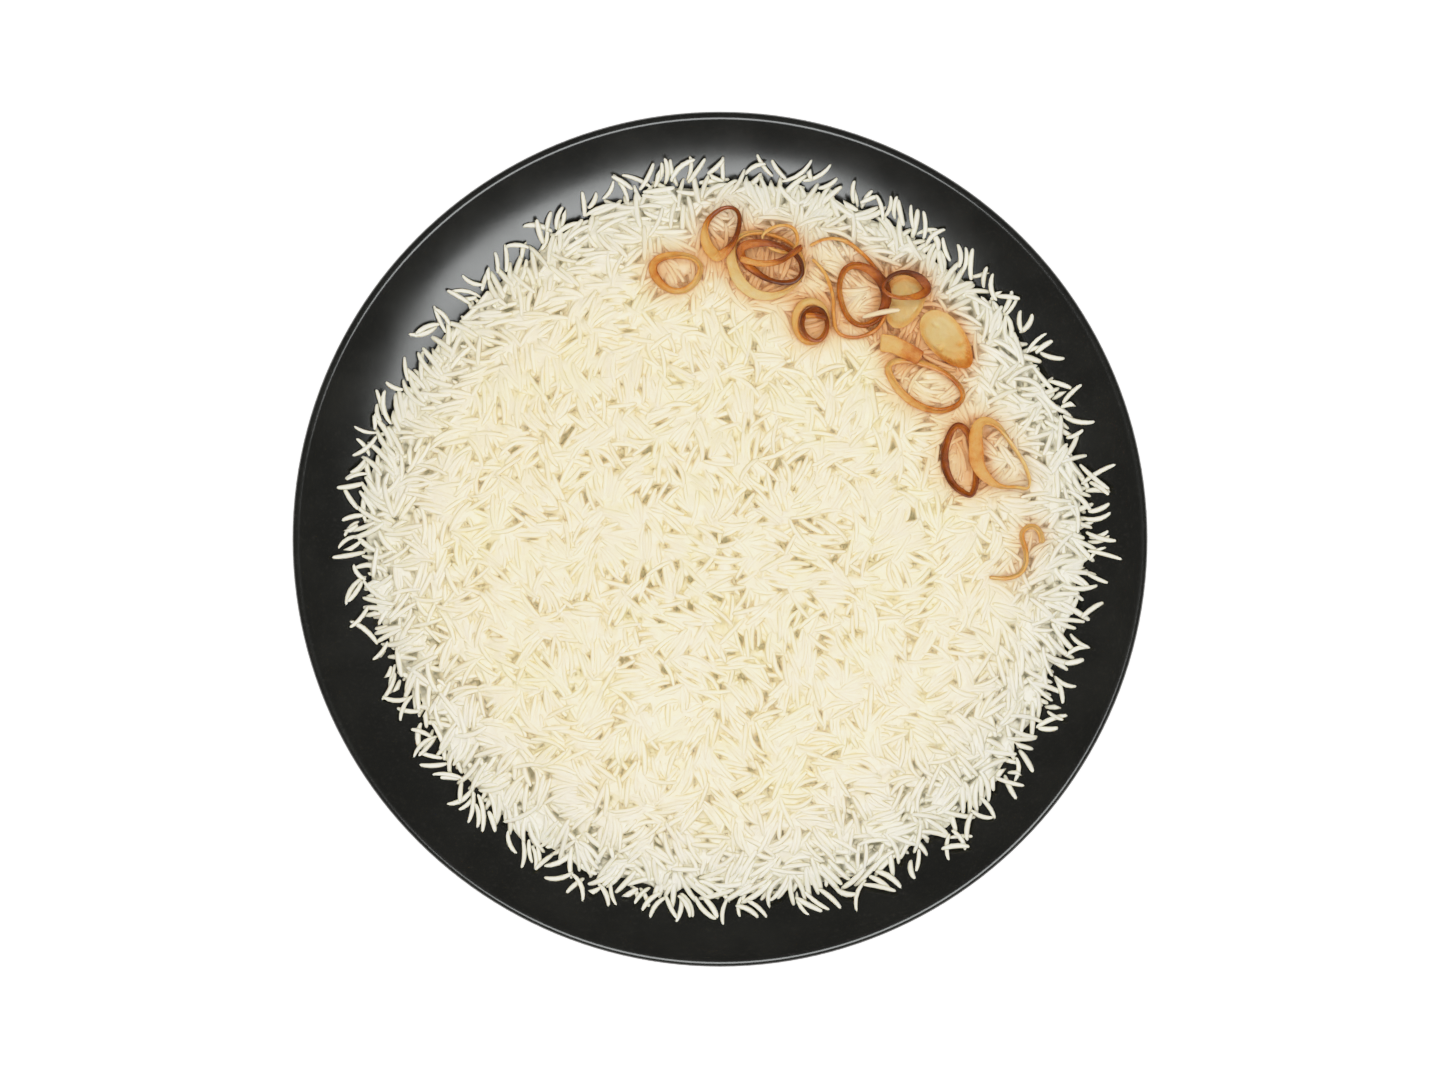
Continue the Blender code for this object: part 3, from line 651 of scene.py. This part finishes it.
def layGrain(grain, x, y, headings, settle=laying["sink"], underOnion=True):
    height, slope = restOn(grain, x, y, headings, heights, settle)
    best = height.argmin()
    grain.update(x=x, y=y, z=height[best], slope=slope[best], heading=headings[best])
    rows, columns, axis, back = footprint(grain)
    if underOnion:
        if (axis + back - highest[rows, columns]).max() > 0:
            return False
        over = (axis + back - ceiling[rows, columns]).max()
        if over > laying["onionPush"]:
            return False
        if over > 0:
            grain["z"] -= over
            axis = axis - over
    np.maximum.at(heights, (rows, columns), axis + back)
    laid.append(grain)
    return True


def fillHeap(least, settle):  # always tries the lowest of a few places
    misses = 0
    while len(laid) < laying["most"] and misses < laying["mostMisses"]:
        angles = random.uniform(0, fullTurn, laying["tries"])
        reach = np.sqrt(random.uniform(0, 1, laying["tries"])) * (outlineRadius(angles) - 1 * mm)
        xs, ys = reach * np.cos(angles), reach * np.sin(angles)
        where = cellOf(xs, ys)
        room = riceHeights[where] - heights[where]
        lowest = room.argmax()
        loose = reach[lowest] > outlineRadius(angles[lowest]) - laying["looseRim"]
        turns = random.uniform(0, math.pi, 1 if loose else laying["headings"])
        fits = room[lowest] > least and layGrain(pickGrain(), xs[lowest], ys[lowest], turns, settle)
        misses = 0 if fits else misses + 1
    print("laid", len(laid), "grains so far")


def clumpAt(angle):  # how far the heap's edge bulges out there
    return laying["clump"] * noise.noise(Vector((math.cos(angle), math.sin(angle), 0)) * laying["clumpScale"])


laid = []
for least, settle in laying["passes"]:
    fillHeap(least, settle)

edgeFrom = len(laid)
edgeTries = 0
while len(laid) < edgeFrom + laying["edgeGrains"] and edgeTries < laying["edgeTries"]:
    edgeTries += 1
    angle = random.uniform(0, fullTurn)
    reach = outlineRadius(angle) + random.uniform(*laying["edgeReach"]) + clumpAt(angle)
    turns = angle + np.radians(random.uniform(-laying["edgeTurn"], laying["edgeTurn"], 1))
    grain = pickGrain()
    grain["length"] *= random.uniform(*laying["edgeShortness"])
    grain["radius"] *= random.uniform(*laying["edgeSlimness"])
    grain["bow"] = random.choice((-1, 1)) * random.uniform(*laying["edgeBow"]) * grain["length"]
    tip = reach + abs(math.cos(turns[0] - angle)) * grain["length"] / 2
    if tip < laying["furthestTip"]:
        layGrain(grain, reach * math.cos(angle), reach * math.sin(angle), turns)
print("laid", len(laid) - edgeFrom, "more round the edge")


crossingGrain = {  # the one grain that lies across the onion rings
    "from": (52.6 * mm, 82.5 * mm),
    "to": (66.8 * mm, 85.2 * mm),
    "radius": 1.05 * mm,
    "bow": 0.5 * mm,
    "stained": 0.45,
}


def layOverOnion():
    start, end = crossingGrain["from"], crossingGrain["to"]
    grain = pickGrain()
    grain.update(kind=kindNames.index("rice_grains_curved"), length=math.dist(start, end),
                 radius=crossingGrain["radius"], bow=crossingGrain["bow"])
    heading = math.atan2(end[1] - start[1], end[0] - start[0])
    ground = heights.copy()
    np.maximum(heights, onionOver, out=heights)
    middle = [(a + b) / 2 for a, b in zip(start, end)]
    layGrain(grain, *middle, np.array([heading]), underOnion=False)
    heights[:] = ground
    grain["stained"] = crossingGrain["stained"]


layOverOnion()
# how deep the painted shade in the gaps reaches; the softened heights also give the mean face that the bed
# follows
gapShape = {
    "soften": 7,  # cells
    "above": 0.5 * mm,  # the grains' tops over their mean height
    "deepest": 8 * mm,
}
meanHeights = soften(heights, gapShape["soften"])
topHeights = meanHeights + gapShape["above"]


def depthAt(where, z):  # how far down in the gaps a height is, from 0 to 1, for the painted shade there
    return np.clip((topHeights[where] - z) / gapShape["deepest"], 0, 1)


def joinGrains(name, kindIndex):
    corners, faces = modelGrain(name, grainKinds[name])
    chosen = [grain for grain in laid if grain["kind"] == kindIndex]
    values = {key: np.array([grain[key] for grain in chosen])[:, None]
              for key in ("x", "y", "z", "slope", "heading", "length", "radius", "bow")}
    tilt = np.arctan(values["slope"])
    along = np.stack([np.cos(values["heading"]) * np.cos(tilt), np.sin(values["heading"]) * np.cos(tilt),
                      np.sin(tilt)], axis=2)
    across = np.stack([-np.sin(values["heading"]), np.cos(values["heading"]), 0 * tilt], axis=2)
    upward = np.cross(along, across)
    run = corners[None, :, 0] * values["length"] / 2 / np.cos(tilt)
    side = corners[None, :, 1] * values["radius"] + values["bow"] * (0.5 - corners[None, :, 0] ** 2)
    lift = corners[None, :, 2] * values["radius"]
    start = np.concatenate([values["x"], values["y"], values["z"]], axis=1)[:, None, :]
    places = start + run[..., None] * along + side[..., None] * across + lift[..., None] * upward
    count = len(chosen)
    mesh = bpy.data.meshes.new(name)
    offsets = np.arange(count) * len(corners)
    allFaces = [[corner + offset for corner in face] for offset in offsets.tolist() for face in faces]
    mesh.from_pydata(places.reshape(-1, 3).tolist(), [], allFaces)
    piece = bpy.data.objects.new(name, mesh)
    bpy.context.scene.collection.objects.link(piece)
    flat = places.reshape(-1, 3)
    where = cellOf(flat[:, 0], flat[:, 1])
    tones = np.random.default_rng(kindIndex).uniform(0, 1, count).repeat(len(corners))
    writeAttribute(mesh, "tone", tones)
    # painted shade in the gaps, by how deep each corner lies
    writeAttribute(mesh, "depth", depthAt(where, flat[:, 2]))
    above = np.array([grain.get("stained", 1.0) for grain in chosen]).repeat(len(corners))
    writeAttribute(mesh, "stain", stainMap[where] * above)
    finishPiece(piece, riceSurface, "rice", "rice")
    print("joined", count, name)


for kindIndex, name in enumerate(kindNames):
    joinGrains(name, kindIndex)


# Rice bed: the soft rice that the grains lie in, up into the grooves between them

bedShape = {
    "sides": 300,
    "rings": 110,
    "inset": 2.5 * mm,  # inside the heap's outline
    "clearance": 0.4 * mm,
    "under": 0.12 * mm,  # below the grains' mean height, in the middle
    "rimUnder": 0.45 * mm,
    "rimStart": 92 * mm,
    "rimEnd": 132 * mm,
    "pitShare": (0.05, 0.13),  # of the heap's face that is gaps between grains, in the middle and at the rim
    "pitDepth": 3.2 * mm,
    "pitSoften": 3,  # cells
    "pitGain": 2.5,
    "pitZone": 0.6,  # how far out the rim's share is measured
    "leastWall": 0.6 * mm,
    "onionGap": 0.3 * mm,
}


def bedHeights():
    # close under the grains in the middle, open towards the rim, and down in the deepest gaps
    shape = bedShape
    rim = (np.hypot(cellX, cellY) - shape["rimStart"]) / (shape["rimEnd"] - shape["rimStart"])
    rim = np.clip(rim, 0, 1)
    gaps = meanHeights - heights
    zones = rim == 0, (rim > shape["pitZone"]) & (rim < 1)
    limits = [np.quantile(gaps[zone], 1 - share) for zone, share in zip(zones, shape["pitShare"])]
    pits = gaps > limits[0] + (limits[1] - limits[0]) * rim
    pits = np.clip(soften(pits.astype(float), shape["pitSoften"]) * shape["pitGain"], 0, 1)
    under = shape["under"] + (shape["rimUnder"] - shape["under"]) * rim ** 2
    return meanHeights - under - pits * shape["pitDepth"]


def makeBed():
    shape = bedShape
    bpy.ops.object.select_all(action="DESELECT")
    bpy.ops.mesh.primitive_circle_add(vertices=shape["sides"], radius=1)
    bed = bpy.context.active_object
    bed.name = bed.data.name = "rice_bed"
    startEdit(bed)
    bpy.ops.mesh.select_all(action="SELECT")
    bpy.ops.mesh.extrude_region_move(TRANSFORM_OT_translate={"value": (0, 0, 1)})
    for ring in range(1, shape["rings"]):
        share = 1 - ring / shape["rings"]
        before = 1 - (ring - 1) / shape["rings"]
        bpy.ops.mesh.extrude_region_move(TRANSFORM_OT_translate={"value": (0, 0, 0)})
        bpy.ops.transform.resize(value=(share / before, share / before, 1), center_override=(0, 0, 1))
    bpy.ops.mesh.edge_face_add()
    bpy.ops.mesh.select_all(action="DESELECT")
    leaveEdit()
    for vert in bed.data.vertices:
        vert.select = vert.co.z < 0.5
    startEdit(bed)
    bpy.ops.mesh.edge_face_add()
    bpy.ops.mesh.select_all(action="SELECT")
    bpy.ops.mesh.normals_make_consistent(inside=False)
    leaveEdit()
    places = coordinatesOf(bed.data)  # from the unit drum to its place on the plate
    angles = np.arctan2(places[:, 1], places[:, 0])
    clumps = np.array([clumpAt(angle) for angle in angles])
    radii = np.hypot(places[:, 0], places[:, 1]) * (outlineRadius(angles) + clumps - shape["inset"])
    x, y = radii * np.cos(angles), radii * np.sin(angles)
    lowest = plateTop(radii) + shape["clearance"]
    top = np.minimum(bedHeights(), ceiling - shape["onionGap"])[cellOf(x, y)]
    z = np.where(places[:, 2] > 0.5, np.maximum(lowest + shape["leastWall"], top), lowest)
    bed.data.vertices.foreach_set("co", np.stack([x, y, z], axis=1).ravel())
    bed.data.update()
    return bed


bed = makeBed()
bedPlaces = coordinatesOf(bed.data)
where = cellOf(bedPlaces[:, 0], bedPlaces[:, 1])
writeAttribute(bed.data, "tone", np.full(len(bedPlaces), 0.5))
# painted shade in the gaps, by how deep each corner of the bed lies
writeAttribute(bed.data, "depth", depthAt(where, bedPlaces[:, 2]))
writeAttribute(bed.data, "stain", stainMap[where])
finishPiece(bed, bedSurface, "rice", "rice")
print("packed the bed")


# Onion: each band is a copy of its solid with a curled section, soft corners and wrinkles

onionLooks = {  # how brown each is, how much that changes round it, and the compass side where it is darkest
    "onion_ring_01": {"toast": 0.40, "swing": 0.08, "dark": 170, "curl": 0.5},
    "onion_ring_02": {"toast": 0.58, "swing": 0.25, "dark": 30, "curl": 0.7},
    "onion_ring_03": {"toast": 0.28, "swing": 0.12, "dark": 60, "curl": 0.5},
    "onion_ring_04": {"toast": 0.30, "swing": 0.05, "dark": 30, "curl": 0.2},
    "onion_ring_05": {"toast": 0.78, "swing": 0.12, "dark": -30, "curl": 0.5},
    "onion_ring_06": {"toast": 0.40, "swing": 0.10, "dark": -60, "curl": 0.4},
    "onion_ring_07": {"toast": 0.74, "swing": 0.12, "dark": 90, "curl": 0.4},
    "onion_ring_08": {"toast": 0.68, "swing": 0.16, "dark": 0, "curl": 0.7},
    "onion_ring_09": {"toast": 0.78, "swing": 0.16, "dark": 90, "curl": 0.5},
    "onion_ring_10": {"toast": 0.44, "swing": 0.10, "dark": -20, "curl": 0.6},
    "onion_ring_11": {"toast": 0.74, "swing": 0.10, "dark": 200, "curl": 0.6},
    "onion_ring_12": {"toast": 0.31, "swing": 0.15, "dark": 190, "curl": 0.5},
    "onion_strand_01": {"toast": 0.60, "swing": 0.10, "dark": 0, "curl": 0.4},
    "onion_strand_02": {"toast": 0.42, "swing": 0.14, "dark": -20, "curl": 0.2},
    "onion_strand_03": {"toast": 0.60, "swing": 0.10, "dark": 0, "curl": 0.3},
    "onion_strand_04": {"toast": 0.46, "swing": 0.12, "dark": -30, "curl": 0.8},
    "onion_strand_05": {"toast": 0.29, "swing": 0.05, "dark": 90, "curl": 0.4},
    "onion_slice_01": {"toast": 0.26, "swing": 0.14, "dark": -60, "curl": 0.0},
    "onion_slice_02": {"toast": 0.24, "swing": 0.08, "dark": 120, "curl": 0.0},
}
bandShape = {
    "thickest": 1.4 * mm,  # a longer edge isn't one across the thickness of a band
    "cuts": 3,
    "rounding": 2,
    "waves": 0.35 * mm,
    "waveLength": 6 * mm,
    "wrinkles": 0.1 * mm,
    "wrinkleLength": 1.6 * mm,
    "foldStretch": (0.4, 2.5),  # how fast the wrinkles change along a band and across it
    "pucker": 0.4,
    "rimToast": 0.14,
    "rimFrom": 0.3,
    "drift": 0.1,  # how much the toasting wanders
    "driftScale": 160,
}
sliceShape = {
    "cuts": 2,
    "sectors": 48,
    "filmEdge": 0.82,  # of the way out from the middle, where the skin meets the rim
    "filmBlend": 0.16,
    "sag": 0.8,  # how far the skin hangs down onto the rice, as a share of the room under it
    "deepest": 1.4 * mm,
    "contact": 1.1 * mm,
    "underSoften": 3,  # cells
    "rimFrom": 0.66,
    "rimBlend": 0.2,
    "rimToast": 1.5,
}


def copySolid(name):
    mesh = nodes[name].data.copy()
    mesh.materials.clear()
    for layer in list(mesh.uv_layers):
        mesh.uv_layers.remove(layer)
    piece = bpy.data.objects.new(name + "_fried", mesh)
    bpy.context.scene.collection.objects.link(piece)
    startEdit(piece)
    bpy.ops.mesh.select_all(action="SELECT")
    bpy.ops.mesh.remove_doubles(threshold=0.01 * mm)
    bpy.ops.mesh.tris_convert_to_quads(face_threshold=math.radians(70), shape_threshold=math.radians(70))
    leaveEdit()
    return piece


def markBand(piece):
    # Gives each corner its cut edge (side) and its face of the layer, and selects the edges across the band
    bm = bmesh.new()
    bm.from_mesh(piece.data)
    side = bm.verts.layers.float.new("side")
    face = bm.verts.layers.float.new("face")
    thin = {edge for edge in bm.edges if edge.calc_length() < bandShape["thickest"]}
    narrow = {quad for quad in bm.faces if sum(edge in thin for edge in quad.edges) >= 2}
    caps = {quad for quad in narrow if all(len(vert.link_edges) == 3 for vert in quad.verts)}
    across = {edge for quad in caps for edge in quad.edges if edge not in thin}
    across |= {edge for edge in bm.edges
               if edge not in thin and not any(quad in narrow for quad in edge.link_faces)}
    bm.verts.ensure_lookup_table()
    first = bm.verts[0]
    first[side], first[face] = 1.0, 1.0
    reached, waiting = {first}, [first]
    while waiting:
        vert = waiting.pop()
        for edge in vert.link_edges:
            other = edge.other_vert(vert)
            if other in reached:
                continue
            other[side] = -vert[side] if edge in across else vert[side]
            other[face] = -vert[face] if edge in thin else vert[face]
            reached.add(other)
            waiting.append(other)
    layer = bm.verts.layers.float_vector.new("across")
    for edge in thin:
        first, second = edge.verts if edge.verts[0][face] > 0 else reversed(edge.verts)
        first[layer] = second[layer] = (first.co - second.co).normalized()
    for element in list(bm.verts) + list(bm.edges) + list(bm.faces):
        element.select = False
    for edge in across:
        edge.select = True
    bm.to_mesh(piece.data)
    bm.free()


def shapeBand(piece, curl):
    startEdit(piece, "EDGE")
    bpy.ops.mesh.subdivide(number_cuts=bandShape["cuts"])
    leaveEdit()
    mesh = piece.data
    sides = readAttribute(mesh, "side")
    flat = np.empty(len(mesh.vertices) * 3, np.float32)
    mesh.attributes["across"].data.foreach_get("vector", flat)
    for vert, side, across in zip(mesh.vertices, sides, flat.reshape(-1, 3)):
        wave = bandShape["waves"] * noise.noise(vert.co / bandShape["waveLength"] + Vector((side, 0, 7)))
        vert.co += Vector(across) * (curl * mm * (1 - side * side) + wave)


def roundOff(piece):
    makeActive(piece)
    rounding = piece.modifiers.new("rounding", "SUBSURF")
    rounding.levels = rounding.render_levels = bandShape["rounding"]
    bpy.ops.object.modifier_apply(modifier=rounding.name)


def wrinkle(piece):
    mesh = piece.data
    sides = readAttribute(mesh, "side")
    normals = [vert.normal.copy() for vert in mesh.vertices]
    lengthwise, crosswise = bandShape["foldStretch"]
    for vert, side, normal in zip(mesh.vertices, sides, normals):
        place = vert.co / bandShape["wrinkleLength"]
        fold = noise.noise(Vector((place.x * lengthwise, place.y * lengthwise, side * crosswise)))
        pucker = bandShape["pucker"] * noise.noise(place)
        vert.co += normal * bandShape["wrinkles"] * (fold + pucker)


def aroundMiddle(places):  # direction and distance of each corner from the piece's middle, seen from above
    centre = (places.max(axis=0) + places.min(axis=0)) / 2
    x, y = places[:, 0] - centre[0], places[:, 1] - centre[1]
    return np.arctan2(y, x), np.hypot(x, y)


def toastPiece(piece, look, edges):
    # browns a piece by compass direction round its middle, and along its cut edges
    shape = bandShape
    places = coordinatesOf(piece.data)
    angles = aroundMiddle(places)[0]
    toast = look["toast"] + look["swing"] * np.cos(angles - math.radians(look["dark"]))
    toast += shape["rimToast"] * (edges - shape["rimFrom"])
    drift = np.array([noise.noise(Vector(place) * shape["driftScale"]) for place in places])
    writeAttribute(piece.data, "toast", np.clip(toast + shape["drift"] * drift, 0, 1))


def friedBand(name, look, slot):
    piece = copySolid(name)
    markBand(piece)
    shapeBand(piece, look["curl"])
    roundOff(piece)
    wrinkle(piece)
    toastPiece(piece, look, np.abs(readAttribute(piece.data, "side")) ** 3)
    finishPiece(piece, onionSurfaces[slot], slot, name)
    return len(piece.data.polygons)


def friedSlice(name, look, slot):
    shape = sliceShape
    piece = copySolid(name)
    startEdit(piece, "FACE")
    bpy.ops.mesh.select_all(action="SELECT")
    bpy.ops.mesh.subdivide(number_cuts=shape["cuts"])
    leaveEdit()
    roundOff(piece)
    mesh = piece.data
    places = coordinatesOf(mesh)
    angles, reach = aroundMiddle(places)
    sector = ((angles + math.pi) / fullTurn * (shape["sectors"] - 0.1)).astype(int)
    furthest = np.array([reach[sector == i].max() if (sector == i).any() else 1.0
                         for i in range(shape["sectors"])])
    share = reach / furthest[sector]
    writeAttribute(mesh, "side", share)
    film = np.clip((shape["filmEdge"] - share) / shape["filmBlend"], 0, 1)
    under = soften(heights, shape["underSoften"])
    room = (onionUnder - under)[cellOf(places[:, 0], places[:, 1])]
    writeAttribute(mesh, "thin", film * (1 - np.clip(room / shape["contact"], 0, 1)))
    places[:, 2] -= film * shape["sag"] * np.clip(room, 0, shape["deepest"])
    mesh.vertices.foreach_set("co", places.ravel())
    mesh.update()
    wrinkle(piece)
    rim = np.clip((share - shape["rimFrom"]) / shape["rimBlend"], 0, 1)
    toastPiece(piece, look, rim * shape["rimToast"])
    finishPiece(piece, onionSurfaces[slot], slot, name)
    return len(piece.data.polygons)


slotOfNode = {name: nodes[name].data.materials[0].name for name in onionNames}
for name in onionNames:
    slot = "onion_" + next(tone for tone in ("pale", "golden", "brown") if tone in slotOfNode[name])
    fry = friedSlice if "slice" in name else friedBand
    print("fried", name, slot, fry(name, onionLooks[name], slot), "faces")


# Studio: pale floor, soft panels and the camera straight above

studio = {
    "floorSize": 6.0,
    "floorColours": (paint(250, 250, 249), paint(246, 246, 245)),
    "floorPatches": 6,  # to a metre
    "floorGlow": 2.5,
    "ambient": 0.17,
    "panels": (  # place, width and height, watts, colour, and whether it lights or only shows in gloss
        ((0.0, -0.1, 2.6), (3.0, 3.0), 98, (1.07, 1.0, 0.955), "light"),
        ((0.19, -0.76, 1.5), (1.5, 0.8), 30, (0.97, 1.0, 1.0), "gloss"),
    ),
    "brightest": 3.0,  # light that comes out white
    "film": (  # how bright a light comes out, so that pale things keep their tones
        (0.1, 0.12), (0.3, 0.355), (0.47, 0.53), (0.6, 0.65), (0.76, 0.75), (0.855, 0.795),
        (1.0, 0.855), (1.1, 0.885), (1.25, 0.91), (1.6, 0.94),
    ),
    "lens": 100,
    "sensor": 36,
    "imageSize": (1440, 1080),
    "rimPixels": 428.8,  # radius of the plate's rim in the photograph
    "plateMiddle": (720.0, 539.2),
}


def floorMaterial():
    material, tree, shader = newMaterial("pale_floor", roughness=0.8, specular=0.2)
    shade = mixColours(tree, grainNoise(tree, studio["floorPatches"], 2), *studio["floorColours"])
    tree.links.new(shade, shader.inputs["Base Color"])
    shader.inputs["Emission Color"].default_value = (1, 1, 1, 1)
    shader.inputs["Emission Strength"].default_value = studio["floorGlow"]
    return material


def makeStudio():
    bpy.ops.object.select_all(action="DESELECT")
    bpy.ops.mesh.primitive_plane_add(size=studio["floorSize"])
    floor = bpy.context.active_object
    floor.name = "studio_floor"
    floor.data.materials.append(floorMaterial())
    scene = bpy.context.scene
    world = bpy.data.worlds.new("soft_world")
    world.use_nodes = True
    world.node_tree.nodes["Background"].inputs["Strength"].default_value = studio["ambient"]
    world.node_tree.nodes["Background"].inputs["Color"].default_value = (1, 1, 1, 1)
    scene.world = world
    for i, (place, size, watts, colour, use) in enumerate(studio["panels"]):
        bpy.ops.object.light_add(type="AREA", location=place)
        panel = bpy.context.active_object
        panel.name = "panel_" + str(i)
        panel.data.shape = "RECTANGLE"
        panel.data.size, panel.data.size_y = size
        panel.data.energy = watts
        panel.data.color = colour
        panel.visible_diffuse, panel.visible_glossy = use == "light", use == "gloss"
        panel.rotation_euler = (-Vector(place)).to_track_quat("-Z", "Y").to_euler()
    view = scene.view_settings
    view.view_transform = "Standard"
    view.use_curve_mapping = True
    view.curve_mapping.white_level = (studio["brightest"],) * 3
    curve = view.curve_mapping.curves[3]
    for light, shown in studio["film"]:
        curve.points.new(light / studio["brightest"], shown)
    view.curve_mapping.update()


def makeCamera():
    pixelsPerTan = studio["imageSize"][0] * studio["lens"] / studio["sensor"]
    distance = rimRadius * pixelsPerTan / studio["rimPixels"]
    perPixel = rimRadius / studio["rimPixels"]
    offX = (studio["imageSize"][0] / 2 - studio["plateMiddle"][0]) * perPixel
    offY = (studio["plateMiddle"][1] - studio["imageSize"][1] / 2) * perPixel
    bpy.ops.object.camera_add(location=(offX, offY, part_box("plate")[1].z + distance), rotation=(0, 0, 0))
    camera = bpy.context.active_object
    camera.data.lens = studio["lens"]
    camera.data.sensor_width = studio["sensor"]
    bpy.context.scene.camera = camera


makeStudio()
makeCamera()
print("set the studio")
